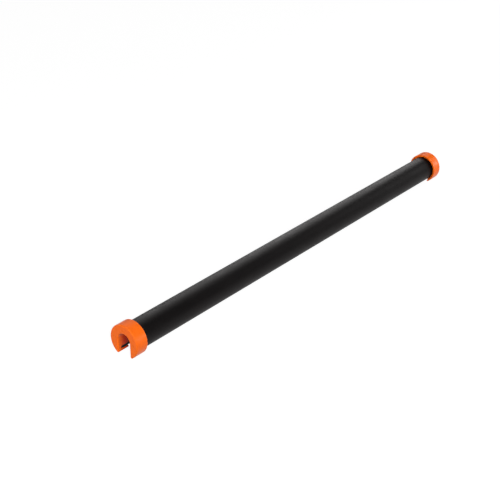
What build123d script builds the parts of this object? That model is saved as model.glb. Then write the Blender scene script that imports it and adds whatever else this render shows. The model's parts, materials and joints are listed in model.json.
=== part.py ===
from build123d import *
import math
import os

# Bed cargo bar: a black tube with a moulded horseshoe cap on each end.
# Millimetres. The bar lies along X and stands on the legs of its two caps at Z = 0.
# The origin is below the middle of the bar. The caps' notches open downwards, so that
# each end drops over a round peg that points along the bar.

# Driving dimensions
OVERALL_LENGTH = 1143.0      # 45 in, over the outer faces of both caps
TUBE_OD = 60.3               # 2 in nominal pipe size
TUBE_WALL = 5.0
PEG_OD = 31.75               # 1 1/4 in peg that the notch sits on
PEG_CLEARANCE = 0.225        # between the peg and the notch, all round
CAP_OD = 73.6
CAP_LENGTH = 29.6
FACE_THICKNESS = 8.4         # the cap's outer plate, which covers the end of the tube
NOTCH_RISE = 0.8             # centre of the notch's round top, above the tube's axis

# Details of the cap moulding
LINER_WALL = 3.0             # channel that carries the notch on, inside the tube
RIB_THICKNESS = 2.4
RIB_ANGLES = (0, 45, 90, 135, 180)
SEAT_GAP = 0.15              # all round the tube's wall, outside and inside
MOUTH_STEP = 3.0             # the sleeve's mouth is wider by this, all round
MOUTH_DEPTH = 5.0
SLEEVE_EDGE_BREAK = 0.8      # on the sleeve's long edges beside the slot
LEG_CORNER_RADIUS = 2.6
FACE_EDGE_RADIUS = 2.5       # soft outer edges, around the face and the notch
BACK_EDGE_RADIUS = 1.1       # edges at the mouth of the sleeve and the end of the channel

# Details of the tube
SLOT_SIDE_GAP = 0.3          # the slot is this much wider than the notch, each side
SLOT_LENGTH = 48.0           # from the tube's end to the slot's round end
TUBE_EDGE_BREAK = 0.4

# Worked out from the above
TUBE_RADIUS = TUBE_OD / 2
BORE_RADIUS = TUBE_RADIUS - TUBE_WALL
TUBE_LENGTH = OVERALL_LENGTH - 2 * FACE_THICKNESS
CAP_RADIUS = CAP_OD / 2
NOTCH_RADIUS = PEG_OD / 2 + PEG_CLEARANCE
SLEEVE_RADIUS = TUBE_RADIUS + SEAT_GAP
PLUG_RADIUS = BORE_RADIUS - SEAT_GAP
LEG_CENTRE_Y = NOTCH_RADIUS + LEG_CORNER_RADIUS
LEG_CENTRE_DROP = math.sqrt((CAP_RADIUS - LEG_CORNER_RADIUS) ** 2 - LEG_CENTRE_Y ** 2)
AXIS_HEIGHT = LEG_CENTRE_DROP + LEG_CORNER_RADIUS

# Sections across the bar are drawn with the bar's Y to the right and Z upwards, around the
# tube's axis. They are extruded towards +X.
ACROSS = Plane(origin=(0, 0, 0), x_dir=(0, 1, 0), z_dir=(1, 0, 0))


def notch_section(half_width, depth):
    """A notch open at the bottom: straight sides under a half-round top."""
    top = Pos(0, NOTCH_RISE) * Circle(half_width)
    sides = Pos(0, NOTCH_RISE - depth / 2) * Rectangle(2 * half_width, depth)
    return top + sides


def horseshoe_section():
    """The cap from outside: a disc less the notch, with rounded leg corners."""
    wall = NOTCH_RADIUS
    leg_angle = math.degrees(math.atan2(LEG_CENTRE_Y, LEG_CENTRE_DROP))
    left_centre = (-LEG_CENTRE_Y, -LEG_CENTRE_DROP)
    right_centre = (LEG_CENTRE_Y, -LEG_CENTRE_DROP)
    with BuildSketch() as sketch:
        with BuildLine():
            CenterArc((0, 0), CAP_RADIUS, leg_angle - 90, 360 - 2 * leg_angle)
            CenterArc(left_centre, LEG_CORNER_RADIUS, 270 - leg_angle, 90 + leg_angle)
            Line((-wall, -LEG_CENTRE_DROP), (-wall, NOTCH_RISE))
            CenterArc((0, NOTCH_RISE), wall, 0, 180)
            Line((wall, NOTCH_RISE), (wall, -LEG_CENTRE_DROP))
            CenterArc(right_centre, LEG_CORNER_RADIUS, 180, 90 + leg_angle)
        make_face()
    return sketch.sketch


def plug_section():
    """Inside the tube: the channel around the notch, and the ribs that reach the bore."""
    channel = notch_section(NOTCH_RADIUS + LINER_WALL, CAP_RADIUS)
    ribs = Sketch()
    for angle in RIB_ANGLES:
        rib = Pos(CAP_RADIUS / 2, 0) * Rectangle(CAP_RADIUS, RIB_THICKNESS)
        ribs += Pos(0, NOTCH_RISE) * Rot(0, 0, angle) * rib
    return (channel + ribs) & Circle(PLUG_RADIUS)


def sleeve_long_edges(body):
    """The two edges along the bar where the sleeve's seat meets the sides of the notch."""
    drop = math.sqrt(SLEEVE_RADIUS**2 - NOTCH_RADIUS**2)
    edges = body.edges().filter_by(Axis.X)
    return edges.sort_by(lambda edge: abs(edge.center().Z + drop))[:2]


def end_cap():
    """The cap at the low end: its outer face is at X = 0 and the tube's axis at Z = 0."""
    body = extrude(ACROSS * horseshoe_section(), CAP_LENGTH)
    body = fillet(body.faces().sort_by(Axis.X)[0].edges(), FACE_EDGE_RADIUS)
    body = fillet(body.faces().sort_by(Axis.X)[-1].edges(), BACK_EDGE_RADIUS)

    socket_depth = CAP_LENGTH - FACE_THICKNESS
    seat = ACROSS.offset(FACE_THICKNESS)
    socket = extrude(seat * (Circle(SLEEVE_RADIUS) - plug_section()), socket_depth)
    mouth = Circle(SLEEVE_RADIUS + MOUTH_STEP) - Circle(SLEEVE_RADIUS)
    mouth = extrude(ACROSS.offset(CAP_LENGTH - MOUTH_DEPTH) * mouth, MOUTH_DEPTH)
    body -= socket + mouth
    return chamfer(sleeve_long_edges(body), SLEEVE_EDGE_BREAK)


def slot_cutter():
    """Cuts the slot at the low end of the tube: open at the end and at the bottom."""
    half_width = NOTCH_RADIUS + SLOT_SIDE_GAP
    straight = SLOT_LENGTH - half_width
    plan = Pos(straight / 2, 0) * Rectangle(straight, 2 * half_width)
    plan += Pos(straight, 0) * Circle(half_width)
    return Pos(-TUBE_LENGTH / 2, 0, 0) * extrude(plan, -TUBE_OD)


def slot_edges(body):
    """The long edges of both slots. A chamfer on them runs on round the slots' ends."""
    return body.edges().filter_by(Axis.X).filter_by(lambda edge: edge.center().Z < 0)


def tube():
    """The tube, with a slot in the bottom of each end, and its middle at X = 0."""
    ring = Circle(TUBE_RADIUS) - Circle(BORE_RADIUS)
    body = extrude(ACROSS.offset(-TUBE_LENGTH / 2) * ring, TUBE_LENGTH)
    body = chamfer(body.edges().filter_by(GeomType.CIRCLE), TUBE_EDGE_BREAK)
    slot = slot_cutter()
    body -= slot + slot.mirror(Plane.YZ)
    return chamfer(slot_edges(body), TUBE_EDGE_BREAK)


def main():
    os.makedirs("parts", exist_ok=True)
    left_end_cap = Pos(-OVERALL_LENGTH / 2, 0, 0) * end_cap()
    parts = {
        "tube": tube(),
        "left_end_cap": left_end_cap,
        "right_end_cap": left_end_cap.mirror(Plane.YZ),
    }
    for name, shape in parts.items():
        export_step(Pos(0, 0, AXIS_HEIGHT) * shape, f"parts/{name}.step")


main()
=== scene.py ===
import bpy
import json
import math
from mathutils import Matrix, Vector


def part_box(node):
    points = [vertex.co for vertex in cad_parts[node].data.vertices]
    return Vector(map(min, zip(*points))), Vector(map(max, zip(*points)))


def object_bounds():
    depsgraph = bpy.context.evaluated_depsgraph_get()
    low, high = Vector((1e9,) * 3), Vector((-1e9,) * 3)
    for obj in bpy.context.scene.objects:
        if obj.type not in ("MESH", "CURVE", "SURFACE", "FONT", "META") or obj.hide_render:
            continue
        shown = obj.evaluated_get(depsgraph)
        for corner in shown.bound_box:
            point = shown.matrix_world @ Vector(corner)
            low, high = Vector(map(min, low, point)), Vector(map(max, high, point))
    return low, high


# Looks for the bed cargo bar: materials on the CAD pieces, a pale floor, soft studio light
# and the camera. Metres, in the row's frame: the bar lies along X and stands on Z = 0.

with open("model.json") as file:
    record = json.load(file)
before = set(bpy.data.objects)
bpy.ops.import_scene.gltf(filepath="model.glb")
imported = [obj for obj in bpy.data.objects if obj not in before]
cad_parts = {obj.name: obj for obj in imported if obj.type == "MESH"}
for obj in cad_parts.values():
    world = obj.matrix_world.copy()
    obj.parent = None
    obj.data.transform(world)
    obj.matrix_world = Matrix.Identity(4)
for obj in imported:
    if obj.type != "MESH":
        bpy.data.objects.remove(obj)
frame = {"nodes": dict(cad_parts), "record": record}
cad_low, cad_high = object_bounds()

CAPS = ("left_end_cap", "right_end_cap")

# Sizes read from the frame
tube_low, tube_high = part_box("tube")
cap_low, cap_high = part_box(CAPS[0])
mounts = {mount["name"]: mount for mount in frame["record"]["mounts"]}
AXIS_Z = (tube_low.z + tube_high.z) / 2
CAP_RADIUS = (cap_high.y - cap_low.y) / 2
HALF_LENGTH = cad_high.x
NOTCH_RADIUS = mounts["left_notch"]["dims"]["r_mm"] / 1000

# Camera: in front of the bar, beyond its left end and above it. Its angles are in degrees,
# and its lens and sensor in millimetres.
CAMERA_AZIMUTH = -51.04
CAMERA_ELEVATION = 27.13
CAMERA_DISTANCE = 2.602
CAMERA_AIM = Vector((-0.0626, 0.0944, 0.0))
CAMERA_LENS = 80.6
CAMERA_SENSOR = 36

# Studio
LIGHT_DISTANCE = 3.0
STUDIO_RADIUS = 14.0
STUDIO_HEIGHT = 9.0
WALL_SIDES = 64
SKY_STRENGTH = 0.12

# Floor and backdrop
PAPER = (0.21, 0.21, 0.21, 1)
PAPER_PALER = (0.22, 0.22, 0.22, 1)
PAPER_ROUGHNESS = 0.75
PAPER_GLOW = 0.94

# Colours of the caps and the tube, and the tints of what they reflect
ORANGE = (0.92, 0.146, 0.008, 1)
# Painted shade: a deeper red drawn inside the notch where its walls shade it
ORANGE_PAINTED_SHADE = (0.86, 0.045, 0.002, 1)
ORANGE_RUBBED = (0.96, 0.175, 0.018, 1)
ORANGE_GLINT = (1.0, 0.82, 0.58, 1)
BLACK = (0.0026, 0.0020, 0.0021, 1)
BLACK_DUSTED = (0.0038, 0.0031, 0.0032, 1)
BLACK_GLINT = (1.0, 0.9, 0.9, 1)
GLINT_LEVEL = 0.12

# Where a cap is rubbed paler: fully up to the first distance, and not beyond the second
RUB_FROM_OUTSIDE = (0.0012, 0.0035)
RUB_FROM_FACE = (0.0012, 0.004)
RUB_FROM_SOLES = (0.0004, 0.0024)
RUB_STRENGTH = 0.4
RUB_ROUGHNESS = 0.06

# Where a notch gets painted shade, a deeper red that stands in for the shade inside it: it sets in
# behind the face between the first two distances, and ends between the other pairs, past the notch's
# walls and above the tube's axis
NOTCH_SHADE_BEHIND_FACE = (0.003, 0.022)
NOTCH_SHADE_PAST_WALLS = (0.0002, 0.0007)
NOTCH_SHADE_ABOVE_AXIS = (0.020, 0.022)


def direction(azimuth, elevation):
    """The unit vector towards a viewer or light at these angles, in degrees. Azimuth runs from
    the front, -Y, towards +X, and elevation runs up from the floor."""
    turn = math.radians(azimuth)
    rise = math.radians(elevation)
    level = math.cos(rise)
    return Vector((math.sin(turn) * level, -math.cos(turn) * level, math.sin(rise)))


def look(obj, back):
    """Turns a camera or light so that it looks against back, with its top upwards."""
    obj.rotation_mode = "QUATERNION"
    obj.rotation_quaternion = (-back).to_track_quat("-Z", "Y")


def add_camera():
    data = bpy.data.cameras.new("camera")
    data.lens = CAMERA_LENS
    data.sensor_width = CAMERA_SENSOR
    camera = bpy.data.objects.new("camera", data)
    bpy.context.scene.collection.objects.link(camera)
    back = direction(CAMERA_AZIMUTH, CAMERA_ELEVATION)
    camera.location = CAMERA_AIM + back * CAMERA_DISTANCE
    look(camera, back)
    bpy.context.scene.camera = camera


class Nodes:
    """A short way to add and link the nodes of one material."""

    def __init__(self, tree):
        self.tree = tree

    def add(self, kind, **settings):
        node = self.tree.nodes.new(kind)
        for name, value in settings.items():
            setattr(node, name, value)
        return node

    def feed(self, socket, value):
        """Links a socket to another one, or sets it to a value."""
        if isinstance(value, bpy.types.NodeSocket):
            self.tree.links.new(value, socket)
        else:
            socket.default_value = value

    def math(self, operation, a, b=0.0):
        node = self.add("ShaderNodeMath", operation=operation)
        self.feed(node.inputs[0], a)
        self.feed(node.inputs[1], b)
        return node.outputs[0]

    def noise(self, vector, scale, detail, roughness=0.55):
        node = self.add("ShaderNodeTexNoise")
        self.feed(node.inputs["Vector"], vector)
        self.feed(node.inputs["Scale"], scale)
        self.feed(node.inputs["Detail"], detail)
        self.feed(node.inputs["Roughness"], roughness)
        return node.outputs["Fac"]

    def stretch(self, vector, scale):
        """Scales the point. A small scale draws a noise out along that axis."""
        node = self.add("ShaderNodeMapping", vector_type="POINT")
        self.feed(node.inputs["Vector"], vector)
        self.feed(node.inputs["Scale"], scale)
        return node.outputs["Vector"]

    def remap(self, value, low, high, to_low=0.0, to_high=1.0):
        """Goes smoothly from to_low to to_high while the value goes from low to high."""
        node = self.add("ShaderNodeMapRange", clamp=True, interpolation_type="SMOOTHSTEP")
        self.feed(node.inputs["Value"], value)
        self.feed(node.inputs["From Min"], low)
        self.feed(node.inputs["From Max"], high)
        self.feed(node.inputs["To Min"], to_low)
        self.feed(node.inputs["To Max"], to_high)
        return node.outputs["Result"]

    def fade(self, value, full, gone):
        """1 where the value is less than full, and down smoothly to 0 at gone."""
        return self.remap(value, full, gone, to_low=1.0, to_high=0.0)

    def mix(self, factor, a, b):
        node = self.add("ShaderNodeMix", data_type="RGBA")
        self.feed(node.inputs["Factor"], factor)
        self.feed(node.inputs["A"], a)
        self.feed(node.inputs["B"], b)
        return node.outputs["Result"]

    def brighten(self, colour, factor):
        node = self.add("ShaderNodeHueSaturation")
        self.feed(node.inputs["Color"], colour)
        self.feed(node.inputs["Value"], factor)
        return node.outputs["Color"]

    def bump(self, height, distance, strength, normal=None):
        node = self.add("ShaderNodeBump")
        self.feed(node.inputs["Height"], height)
        self.feed(node.inputs["Distance"], distance)
        self.feed(node.inputs["Strength"], strength)
        if normal is not None:
            self.feed(node.inputs["Normal"], normal)
        return node.outputs["Normal"]


def new_material(name):
    """A material with one Principled shader: (material, its Nodes, the shader)."""
    material = bpy.data.materials.new(name)
    material.use_nodes = True
    nodes = Nodes(material.node_tree)
    shader = material.node_tree.nodes["Principled BSDF"]
    return material, nodes, shader


def surface_point(nodes):
    """The point on the surface, in metres in the row's frame."""
    return nodes.add("ShaderNodeTexCoord").outputs["Object"]


def coordinates(nodes, point):
    """The point's x, y and z."""
    split = nodes.add("ShaderNodeSeparateXYZ")
    nodes.feed(split.inputs["Vector"], point)
    return split.outputs["X"], split.outputs["Y"], split.outputs["Z"]


def behind_face(nodes, x):
    """How far the point lies behind the outer face of the cap at its end of the bar."""
    return nodes.math("SUBTRACT", HALF_LENGTH, nodes.math("ABSOLUTE", x))


def inside_rim(nodes, y, z):
    """How far the point lies inside a cap's round outside."""
    up = nodes.math("SUBTRACT", z, AXIS_Z)
    square = nodes.math("ADD", nodes.math("MULTIPLY", y, y), nodes.math("MULTIPLY", up, up))
    return nodes.math("SUBTRACT", CAP_RADIUS, nodes.math("SQRT", square))


def rubbed_edges(nodes, point):
    """Up to 1 where a cap gets rubbed: around its outer face and under its legs."""
    x, y, z = coordinates(nodes, point)
    outside = nodes.fade(inside_rim(nodes, y, z), *RUB_FROM_OUTSIDE)
    face = nodes.fade(behind_face(nodes, x), *RUB_FROM_FACE)
    soles = nodes.fade(z, *RUB_FROM_SOLES)
    patches = nodes.remap(nodes.noise(point, scale=60, detail=4), 0.38, 0.62, to_low=0.35)
    edges = nodes.math("MAXIMUM", nodes.math("MULTIPLY", outside, face), soles)
    return nodes.math("MULTIPLY", edges, patches)


def painted_notch_shade(nodes, point):
    """Rises from 0 near the outer face to 1 deep in the notch. The cap's outside has 0. It masks the
    painted shade inside the notch.
    """
    x, y, z = coordinates(nodes, point)
    deep = nodes.remap(behind_face(nodes, x), *NOTCH_SHADE_BEHIND_FACE)
    past_walls = nodes.math("SUBTRACT", nodes.math("ABSOLUTE", y), NOTCH_RADIUS)
    between_walls = nodes.fade(past_walls, *NOTCH_SHADE_PAST_WALLS)
    below_top = nodes.fade(nodes.math("SUBTRACT", z, AXIS_Z), *NOTCH_SHADE_ABOVE_AXIS)
    return nodes.math("MULTIPLY", deep, nodes.math("MULTIPLY", between_walls, below_top))


def set_glint(shader, tint):
    """Makes the surface reflect little, in this tint."""
    shader.inputs["Specular IOR Level"].default_value = GLINT_LEVEL
    shader.inputs["Specular Tint"].default_value = tint


def orange_rubber():
    """Moulded orange: fine grain, faint rings, paler rubbed edges, and a deeper red painted in the
    notch as shade.
    """
    material, nodes, shader = new_material("orange_rubber")
    point = surface_point(nodes)
    rubbed = rubbed_edges(nodes, point)
    mottle = nodes.noise(point, scale=160, detail=4)

    # Painted shade: the notch's inside is drawn a deeper red where its walls shade it
    colour = nodes.mix(painted_notch_shade(nodes, point), ORANGE, ORANGE_PAINTED_SHADE)
    colour = nodes.mix(nodes.math("MULTIPLY", rubbed, RUB_STRENGTH), colour, ORANGE_RUBBED)
    colour = nodes.brighten(colour, nodes.remap(mottle, 0.35, 0.65, to_low=0.98, to_high=1.02))
    nodes.feed(shader.inputs["Base Color"], colour)

    rough = nodes.remap(mottle, 0.3, 0.7, to_low=0.27, to_high=0.32)
    rough = nodes.math("ADD", rough, nodes.math("MULTIPLY", rubbed, RUB_ROUGHNESS))
    nodes.feed(shader.inputs["Roughness"], rough)

    grain = nodes.noise(point, scale=2600, detail=2)
    rings = nodes.noise(nodes.stretch(point, (1, 0.02, 0.02)), scale=900, detail=2)
    normal = nodes.bump(grain, distance=0.00005, strength=0.45)
    normal = nodes.bump(rings, distance=0.00003, strength=0.25, normal=normal)
    nodes.feed(shader.inputs["Normal"], normal)
    set_glint(shader, ORANGE_GLINT)
    return material


def black_coating():
    """Matt black coating on the tube: orange peel, faint draw lines and a little dust."""
    material, nodes, shader = new_material("black_coating")
    point = surface_point(nodes)
    pits = nodes.noise(point, scale=2400, detail=2)
    cloud = nodes.noise(nodes.stretch(point, (0.35, 1, 1)), scale=45, detail=4)

    dust = nodes.remap(cloud, 0.42, 0.72)
    nodes.feed(shader.inputs["Base Color"], nodes.mix(dust, BLACK, BLACK_DUSTED))

    rough = nodes.remap(cloud, 0.3, 0.7, to_low=0.48, to_high=0.55)
    rough = nodes.math("ADD", rough, nodes.remap(pits, 0.4, 0.7, to_low=-0.015, to_high=0.03))
    nodes.feed(shader.inputs["Roughness"], rough)

    peel = nodes.noise(point, scale=620, detail=3)
    draw = nodes.noise(nodes.stretch(point, (0.012, 1, 1)), scale=1400, detail=3)
    normal = nodes.bump(peel, distance=0.0001, strength=0.45)
    normal = nodes.bump(draw, distance=0.00003, strength=0.5, normal=normal)
    normal = nodes.bump(pits, distance=0.00003, strength=0.5, normal=normal)
    nodes.feed(shader.inputs["Normal"], normal)
    set_glint(shader, BLACK_GLINT)
    return material


def paint(node, material):
    """Puts the material on a CAD piece in place of its plain one."""
    piece = frame["nodes"][node]
    piece.data.materials.clear()
    piece.data.materials.append(material)


def studio_white():
    """The floor's and backdrop's paper. Its own glow keeps the shadows on it faint."""
    material, nodes, shader = new_material("studio_white")
    cloud = nodes.noise(surface_point(nodes), scale=3, detail=2)
    nodes.feed(shader.inputs["Base Color"], nodes.mix(cloud, PAPER, PAPER_PALER))
    shader.inputs["Roughness"].default_value = PAPER_ROUGHNESS
    shader.inputs["Emission Color"].default_value = (1, 1, 1, 1)
    shader.inputs["Emission Strength"].default_value = PAPER_GLOW
    return material


def add_stage_piece(name, points, faces, material):
    """A part of the studio. The bar can reflect it, but gets no other light from it."""
    mesh = bpy.data.meshes.new(name)
    mesh.from_pydata(points, [], faces)
    mesh.materials.append(material)
    piece = bpy.data.objects.new(name, mesh)
    bpy.context.scene.collection.objects.link(piece)
    piece.visible_diffuse = False
    return piece


def add_studio():
    """A wide plain floor, and a round wall far away that closes off the horizon."""
    paper = studio_white()
    reach = STUDIO_RADIUS
    corners = [(-reach, -reach, 0), (reach, -reach, 0), (reach, reach, 0), (-reach, reach, 0)]
    add_stage_piece("floor", corners, [(0, 1, 2, 3)], paper)

    turns = [2 * math.pi * side / WALL_SIDES for side in range(WALL_SIDES)]
    foot = [(reach * math.cos(turn), reach * math.sin(turn), 0) for turn in turns]
    top = [(reach * math.cos(turn), reach * math.sin(turn), STUDIO_HEIGHT) for turn in turns]
    faces = []
    for side in range(WALL_SIDES):
        after = (side + 1) % WALL_SIDES
        faces.append((side, after, WALL_SIDES + after, WALL_SIDES + side))
    wall = add_stage_piece("backdrop", foot + top, faces, paper)
    # The wall stays out of the bar's reflections too
    wall.visible_glossy = False


def light_only(light, nodes):
    """Keeps the light off everything but these CAD pieces."""
    lit = bpy.data.collections.new(light.name)
    for node in nodes:
        lit.objects.link(frame["nodes"][node])
    light.light_linking.receiver_collection = lit


def add_softbox(name, azimuth, elevation, size, power, height=None, only=()):
    """An area light that points at the origin. It is square unless it is given a height, and
    reaches everything unless it is given the CAD pieces that it is only for."""
    data = bpy.data.lights.new(name, "AREA")
    data.shape = "RECTANGLE"
    data.size = size
    data.size_y = height or size
    data.energy = power
    light = bpy.data.objects.new(name, data)
    bpy.context.scene.collection.objects.link(light)
    back = direction(azimuth, elevation)
    light.location = back * LIGHT_DISTANCE
    look(light, back)
    if only:
        light_only(light, only)


def add_lights():
    """Three softboxes for everything, and a set each for the caps and for the tube, because
    no single set gave both of them the highlights in the photo."""
    add_softbox("right", azimuth=75, elevation=15, size=1.2, power=14)
    add_softbox("front", azimuth=-35, elevation=20, size=1.6, power=52)
    add_softbox("left", azimuth=-95, elevation=12, size=1.6, power=33)
    add_softbox("cap back", azimuth=128, elevation=36, size=2.6, power=26, only=CAPS)
    add_softbox("cap top", azimuth=-60, elevation=60, size=1.8, power=18, only=CAPS)
    add_softbox("cap gloss", azimuth=45, elevation=9, size=2.6, height=0.8, power=42, only=CAPS)
    add_softbox("cap fill", azimuth=180, elevation=12, size=1.8, power=22, only=CAPS)
    add_softbox("tube back", azimuth=128, elevation=36, size=2.6, power=58, only=["tube"])
    add_softbox("tube sheen", azimuth=131, elevation=19, size=2.4, height=0.6, power=14, only=["tube"])


def add_sky():
    """Faint even light from all round."""
    world = bpy.data.worlds.new("studio")
    world.use_nodes = True
    bpy.context.scene.world = world
    background = world.node_tree.nodes["Background"]
    background.inputs["Color"].default_value = (1, 1, 1, 1)
    background.inputs["Strength"].default_value = SKY_STRENGTH


def main():
    add_camera()
    orange = orange_rubber()
    paint("tube", black_coating())
    for cap in CAPS:
        paint(cap, orange)
    add_studio()
    add_lights()
    add_sky()
    bpy.context.scene.view_settings.view_transform = "Standard"


main()
